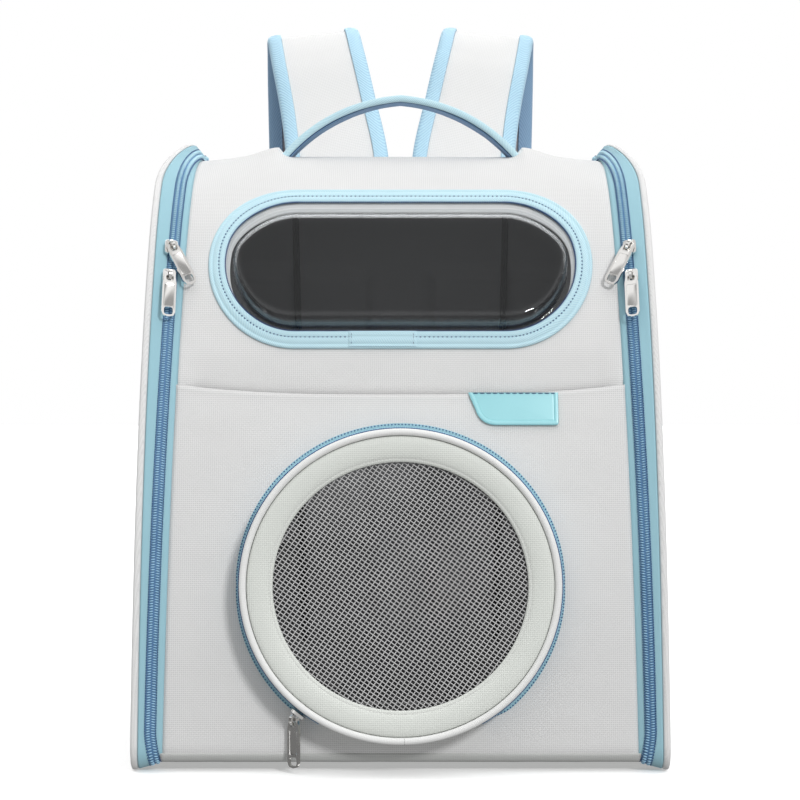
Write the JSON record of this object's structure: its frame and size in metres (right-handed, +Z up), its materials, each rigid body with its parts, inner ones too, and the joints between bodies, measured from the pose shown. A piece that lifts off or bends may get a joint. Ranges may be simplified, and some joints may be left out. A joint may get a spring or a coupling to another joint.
{
  "type": "pet carrier backpack",
  "caption": "Upright cloth pet carrier worn as a backpack, with a clear domed window, a round net door, long side zips, a top handle and padded shoulder straps.",
  "frame": {"origin": "middle of the box's bottom, on the ground between the two side boards", "axes": "+Z up, the front with the window and the round door faces -Y, +X to the right seen from the front"},
  "size_m": [0.37, 0.383, 0.5557],
  "materials": {
    "cloth": "off-white woven cloth",
    "hem": "grey bound hem",
    "zip_tape": "light blue woven zip tape",
    "zip_chain": "blue nylon coil",
    "binding": "sky blue twill tape",
    "pane": "clear glossy moulded sheet",
    "net": "grey open net",
    "label": "soft cyan moulded tab",
    "nickel": "bright nickel plate",
    "buckle": "moulded plastic"
  },
  "bodies": {
    "carrier": {"side_panel_left": "cloth", "side_panel_right": "cloth", "front_lower_panel": "cloth", "front_upper_panel": "cloth", "back_panel": "cloth", "base_panel": "cloth", "base_hem": "hem", "zip_tape_left": "zip_tape", "zip_tape_right": "zip_tape", "zip_chain_left": "zip_chain", "zip_chain_right": "zip_chain", "zip_slider_upper_left": "nickel", "zip_slider_lower_left": "nickel", "zip_slider_upper_right": "nickel", "zip_slider_lower_right": "nickel", "window_pane": "pane", "window_binding": "binding", "door_wall": "cloth", "door_ring": "cloth", "door_piping": "cloth", "door_mesh": "net", "door_zip_tape": "zip_tape", "door_zip_chain": "zip_chain", "door_slider": "nickel", "label_tab": "label", "handle": "binding", "strap_left": "cloth", "strap_right": "cloth", "strap_binding_inner_left": "binding", "strap_binding_outer_left": "binding", "strap_binding_inner_right": "binding", "strap_binding_outer_right": "binding", "strap_buckle_left": "buckle", "strap_buckle_right": "buckle", "strap_webbing_left": "binding", "strap_webbing_right": "binding"},
    "pull_upper_left": {"zip_pull_upper_left": "nickel"},
    "pull_lower_left": {"zip_pull_lower_left": "nickel"},
    "pull_upper_right": {"zip_pull_upper_right": "nickel"},
    "pull_lower_right": {"zip_pull_lower_right": "nickel"},
    "pull_door": {"door_pull": "nickel"}
  },
  "joints": [
    {"name": "pull_upper_left_swing", "type": "hinge", "parent": "carrier", "child": "pull_upper_left", "pos_m": [-0.16097, -0.10245, 0.36105], "axis": [-0.8495, -0.4289, -0.3072], "range_deg": [0, 150]},
    {"name": "pull_upper_right_swing", "type": "hinge", "parent": "carrier", "child": "pull_upper_right", "pos_m": [0.16097, -0.10245, 0.36105], "axis": [-0.8495, 0.4289, 0.3072], "range_deg": [0, 150]},
    {"name": "pull_lower_left_swing", "type": "hinge", "parent": "carrier", "child": "pull_lower_left", "pos_m": [-0.16137, -0.11282, 0.33968], "axis": [-0.9612, -0.251, 0.1148], "range_deg": [0, 140]},
    {"name": "pull_lower_right_swing", "type": "hinge", "parent": "carrier", "child": "pull_lower_right", "pos_m": [0.16137, -0.11282, 0.33968], "axis": [-0.9612, 0.251, -0.1148], "range_deg": [0, 140]},
    {"name": "pull_door_swing", "type": "hinge", "parent": "carrier", "child": "pull_door", "pos_m": [-0.07189, -0.16968, 0.03674], "axis": [-0.7986, 0.6018, 0], "range_deg": [-8, 110]}
  ]
}
